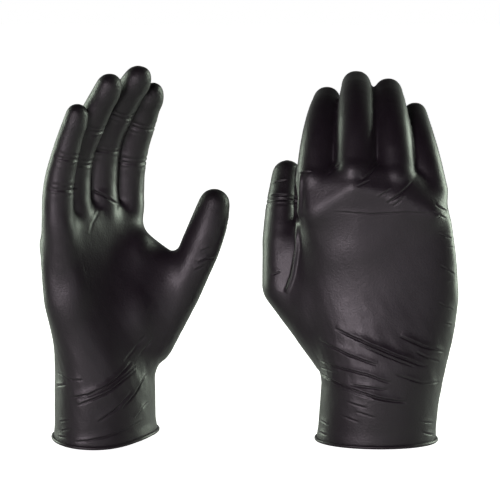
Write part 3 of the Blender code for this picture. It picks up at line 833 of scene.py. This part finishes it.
def thicken(obj):
    """Gives a piece the film's thickness, inwards, and the whole skin's shading."""
    apply_modifier(obj, "SOLIDIFY", thickness=FILM * MM, offset=-1.0, use_even_offset=False)
    mesh = obj.data
    mesh.shade_smooth()
    kept = np.zeros(len(mesh.vertices) * 3)
    mesh.attributes["film_normal"].data.foreach_get("vector", kept)
    kept = kept.reshape(-1, 3)
    loops = np.zeros(len(mesh.loops), int)
    mesh.loops.foreach_get("vertex_index", loops)
    starts = np.zeros(len(mesh.polygons), int)
    mesh.polygons.foreach_get("loop_start", starts)
    totals = np.zeros(len(mesh.polygons), int)
    mesh.polygons.foreach_get("loop_total", totals)
    faces = np.zeros(len(mesh.polygons) * 3)
    mesh.polygons.foreach_get("normal", faces)
    faces = np.repeat(faces.reshape(-1, 3), totals, axis=0)
    shading = kept[loops]
    turn = (shading * faces).sum(axis=1)
    shading = np.where((turn < -0.25)[:, None], -shading, shading)
    shading = np.where((np.abs(turn) <= 0.25)[:, None], faces, shading)
    mesh.normals_split_custom_set(shading.tolist())


def node_adder(owner):
    """Returns a function that adds a node to a material or a world, with settings and links."""
    tree = owner.node_tree

    def add(kind, links=None, **settings):
        made = tree.nodes.new(kind)
        for name, value in settings.items():
            if name in made.inputs:
                made.inputs[name].default_value = value
            else:
                setattr(made, name, value)
        for name, source in (links or {}).items():
            tree.links.new(source, socket(made, name))
        return made

    return add


def socket(node, name):
    """An input that is in use, by its name or number. A mix node keeps spare ones of each type."""
    if isinstance(name, int):
        return node.inputs[name]
    return [i for i in node.inputs if i.name == name and i.enabled][0]


def result(node):
    return [o for o in node.outputs if o.enabled][0]


def make_nitrile():
    """Dipped black nitrile: satin, with a faint skin texture that breaks up its highlights."""
    material = bpy.data.materials.new("dipped nitrile film")
    material.use_nodes = True
    shader = material.node_tree.nodes["Principled BSDF"]
    shader.inputs["IOR"].default_value = 1.5
    shader.inputs["Sheen Weight"].default_value = 0.04
    shader.inputs["Sheen Roughness"].default_value = 0.4
    add = node_adder(material)
    link = material.node_tree.links.new
    place = add("ShaderNodeTexCoord").outputs["Object"]
    grip = add("ShaderNodeAttribute", attribute_name="grip").outputs["Fac"]
    # Slow changes in how satin the film is, as it was dipped and handled
    cloud = add("ShaderNodeTexNoise", {"Vector": place}, Scale=90.0, Detail=3.0).outputs["Fac"]
    satin = add("ShaderNodeMapRange", {"Value": cloud})
    satin.inputs["From Min"].default_value = 0.3
    satin.inputs["From Max"].default_value = 0.7
    satin.inputs["To Min"].default_value = 0.37
    satin.inputs["To Max"].default_value = 0.46
    rough = add("ShaderNodeMath", {0: grip, 2: satin.outputs["Result"]}, operation="MULTIPLY_ADD")
    rough.inputs[1].default_value = 0.05
    link(rough.outputs[0], shader.inputs["Roughness"])
    # A fine leathery grain all over, and the coarser one that the stalls' ends are dipped with
    fine = add("ShaderNodeTexNoise", {"Vector": place}, Scale=900.0, Detail=3.0).outputs["Fac"]
    grain = add("ShaderNodeTexVoronoi", {"Vector": place}, Scale=1100.0).outputs["Distance"]
    rest = add("ShaderNodeMath", {0: grain, 1: grip}, operation="MULTIPLY").outputs[0]
    height = add("ShaderNodeMath", {0: fine, 1: rest}, operation="ADD").outputs[0]
    bump = add("ShaderNodeBump", {"Height": height}, Strength=0.45, Distance=0.00025)
    link(bump.outputs["Normal"], shader.inputs["Normal"])
    # Black rubber with a little violet, a shade deeper at the grip
    tone = add("ShaderNodeMix", {"Factor": grip}, data_type="RGBA")
    socket(tone, "A").default_value = linear("#211b21")
    socket(tone, "B").default_value = linear("#1b171b")
    link(result(tone), shader.inputs["Base Color"])
    return material


def edge_rise(glove, points):
    """How far the cuff's edge is lifted off the table at each point."""
    front, side, rear = EDGE_RISE[glove.side]
    turn = np.arctan2(points[:, 1] - glove.foot.y, points[:, 0] - glove.foot.x)
    ahead = np.clip(-np.sin(turn), 0.0, 1.0) ** 2
    behind = np.clip(np.sin(turn), 0.0, 1.0) ** 2
    return side + (front - side) * ahead + (rear - side) * behind


def lift_edge(glove, cuff):
    points = read_points(cuff.data) / MM
    share = 1.0 - smooth_step(BEAD_TOP, EDGE_REACH, points[:, 2])
    points[:, 2] += edge_rise(glove, points) * share
    write_points(cuff.data, points * MM)


def add_bead(glove, cuff, material):
    """The film rolled up on itself at the cuff's edge."""
    points = read_points(cuff.data) / MM
    low = points[points[:, 2] < BEAD_TOP + 0.4]
    angle = np.arctan2(low[:, 1] - glove.foot.y, low[:, 0] - glove.foot.x)
    reach = np.hypot(low[:, 1] - glove.foot.y, low[:, 0] - glove.foot.x)
    order = np.argsort(angle)
    bpy.ops.mesh.primitive_torus_add(
        major_segments=BEAD_STEPS,
        minor_segments=BEAD_SIDES,
        major_radius=BEAD_RING,
        minor_radius=BEAD,
    )
    bead = bpy.context.object
    bead.name = f"{glove.side}_rolled_bead"
    for vertex in bead.data.vertices:
        turn = np.arctan2(vertex.co.y, vertex.co.x)
        wall = np.interp(turn, angle[order], reach[order], period=2 * pi)
        proud = Vector((vertex.co.x, vertex.co.y)).length - BEAD_RING
        swell = 1.0 + 0.07 * noise.noise(Vector((cos(turn) * 6.0, sin(turn) * 6.0, 3.0)))
        run = wall + 0.35 + proud * swell
        height = max(0.0, BEAD * 0.93 + vertex.co.z * swell)
        place = Vector((glove.foot.x + cos(turn) * run, glove.foot.y + sin(turn) * run, height))
        place.z += edge_rise(glove, np.array([place]))[0]
        vertex.co = place * MM
    bead.data.shade_smooth()
    bead.data.materials.append(material)
    return bead


def attach(glove, pieces):
    """Ties the cuff and hand pieces to their bodies, bakes the other pieces in place, and hides the
    CAD nodes that the pieces stand for.
    """
    side = glove.side
    cuff, hand = f"{side}_cuff", f"{side}_hand"
    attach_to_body(pieces["cuff"], cuff)
    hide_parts(f"{side}_cuff")
    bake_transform(pieces["wrist"])
    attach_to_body(pieces["hand"], hand)
    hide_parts(f"{side}_hand")
    for finger, stall in glove.stalls.items():
        chain, zones = stall["points"], stall["zones"]
        for number, zone in enumerate(zones):
            body = f"{side}_{finger}_{zone}"
            piece = pieces[f"{finger}_{zone}"]
            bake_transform(piece)
            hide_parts(body)


def finish_pieces(pieces, material):
    for piece in pieces.values():
        thicken(piece)
        piece.data.materials.append(material)


def add_stage():
    bpy.ops.mesh.primitive_plane_add(size=14.0, location=(0.0, 3.0, 0.0))
    floor = bpy.context.object
    floor.name = "studio_floor"
    material = bpy.data.materials.new("white paper sweep")
    material.use_nodes = True
    shader = material.node_tree.nodes["Principled BSDF"]
    shader.inputs["Base Color"].default_value = linear("#ffffff")
    shader.inputs["Roughness"].default_value = 0.9
    shader.inputs["Emission Color"].default_value = linear("#ffffff")
    rays = node_adder(material)("ShaderNodeLightPath")
    material.node_tree.links.new(rays.outputs["Is Camera Ray"], shader.inputs["Emission Strength"])
    floor.data.materials.append(material)


def add_light(name, place, target, size, power, colour):
    data = bpy.data.lights.new(name, "AREA")
    data.shape = "RECTANGLE"
    data.size, data.size_y = size
    data.energy = power
    data.color = linear(colour)[:3]
    light = bpy.data.objects.new(name, data)
    light.location = place
    light.rotation_euler = (Vector(target) - Vector(place)).to_track_quat("-Z", "Y").to_euler()
    bpy.context.scene.collection.objects.link(light)


def add_lights():
    """White behind and dark in front, so that black film keeps its shape, as in a studio."""
    world = bpy.data.worlds.new("studio")
    world.use_nodes = True
    link = world.node_tree.links.new
    background = world.node_tree.nodes["Background"]
    add = node_adder(world)
    where = add("ShaderNodeTexCoord").outputs["Generated"]
    split = add("ShaderNodeSeparateXYZ", {"Vector": where})
    ramp = add("ShaderNodeValToRGB")
    spread = add("ShaderNodeMapRange", {"Value": split.outputs["Y"]})
    spread.inputs["From Min"].default_value = -1.0
    link(spread.outputs["Result"], ramp.inputs["Fac"])
    stops = ramp.color_ramp.elements
    stops[0].position, stops[0].color = 0.0, (0.03, 0.028, 0.03, 1.0)
    stops[1].position, stops[1].color = 1.0, (0.35, 0.36, 0.35, 1.0)
    for position, level in ((0.4, 0.03), (0.56, 0.1), (0.72, 0.3)):
        stop = stops.new(position)
        stop.color = (level * 0.95, level, level * 0.93, 1.0)
    low = add("ShaderNodeMapRange", {"Value": split.outputs["Z"]})
    low.inputs["From Min"].default_value = 0.2
    low.inputs["From Max"].default_value = 0.55
    low.inputs["To Min"].default_value = 1.0
    low.inputs["To Max"].default_value = 0.06
    rays = add("ShaderNodeLightPath").outputs["Is Camera Ray"]
    level = add("ShaderNodeMath", {0: rays, 1: low.outputs["Result"]}, operation="MAXIMUM")
    shown = add("ShaderNodeMix", {"Factor": rays, "A": ramp.outputs["Color"]}, data_type="RGBA")
    socket(shown, "B").default_value = (1.0, 1.0, 1.0, 1.0)
    link(result(shown), background.inputs["Color"])
    link(level.outputs[0], background.inputs["Strength"])
    bpy.context.scene.world = world
    middle = (0.0, 0.0, 0.11)
    add_light("key softbox", (-0.55, -1.3, 0.38), middle, (0.5, 0.5), 8.6, "#fff0fb")
    add_light("front fill", (0.4, -1.4, 0.15), middle, (1.2, 0.4), 1.8, "#fff8ff")
    add_light("left strip", (-1.0, 0.5, 0.25), middle, (0.5, 0.9), 12.0, "#efffea")
    add_light("right strip", (1.0, 0.45, 0.25), middle, (0.5, 0.9), 16.0, "#efffea")


def add_camera():
    data = bpy.data.cameras.new("camera")
    data.lens = 150.0
    data.sensor_width = 36.0
    camera = bpy.data.objects.new("camera", data)
    distance, tilt = 1.2, radians(7.5)
    target = Vector((0.00115, 0.0, 0.1092))
    camera.location = target + Vector((0.0, -distance * cos(tilt), distance * sin(tilt)))
    camera.rotation_euler = (pi / 2 - tilt, 0.0, 0.0)
    bpy.context.scene.collection.objects.link(camera)
    bpy.context.scene.camera = camera


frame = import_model()
deselect_all()
bpy.context.scene.view_settings.view_transform = "Standard"
nitrile = make_nitrile()
for name in SIDES:
    glove = Glove(name)
    skin = make_skin(glove)
    shape_skin(glove, skin)
    note_normals(skin.data)
    note_grip(glove, skin.data)
    pieces = cut_skin(glove, skin)
    bead = add_bead(glove, pieces["cuff"], nitrile)
    lift_edge(glove, pieces["cuff"])
    finish_pieces(pieces, nitrile)
    attach(glove, pieces)
    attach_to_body(bead, f"{name}_cuff")
    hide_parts(f"{name}_bead")
add_stage()
add_lights()
add_camera()
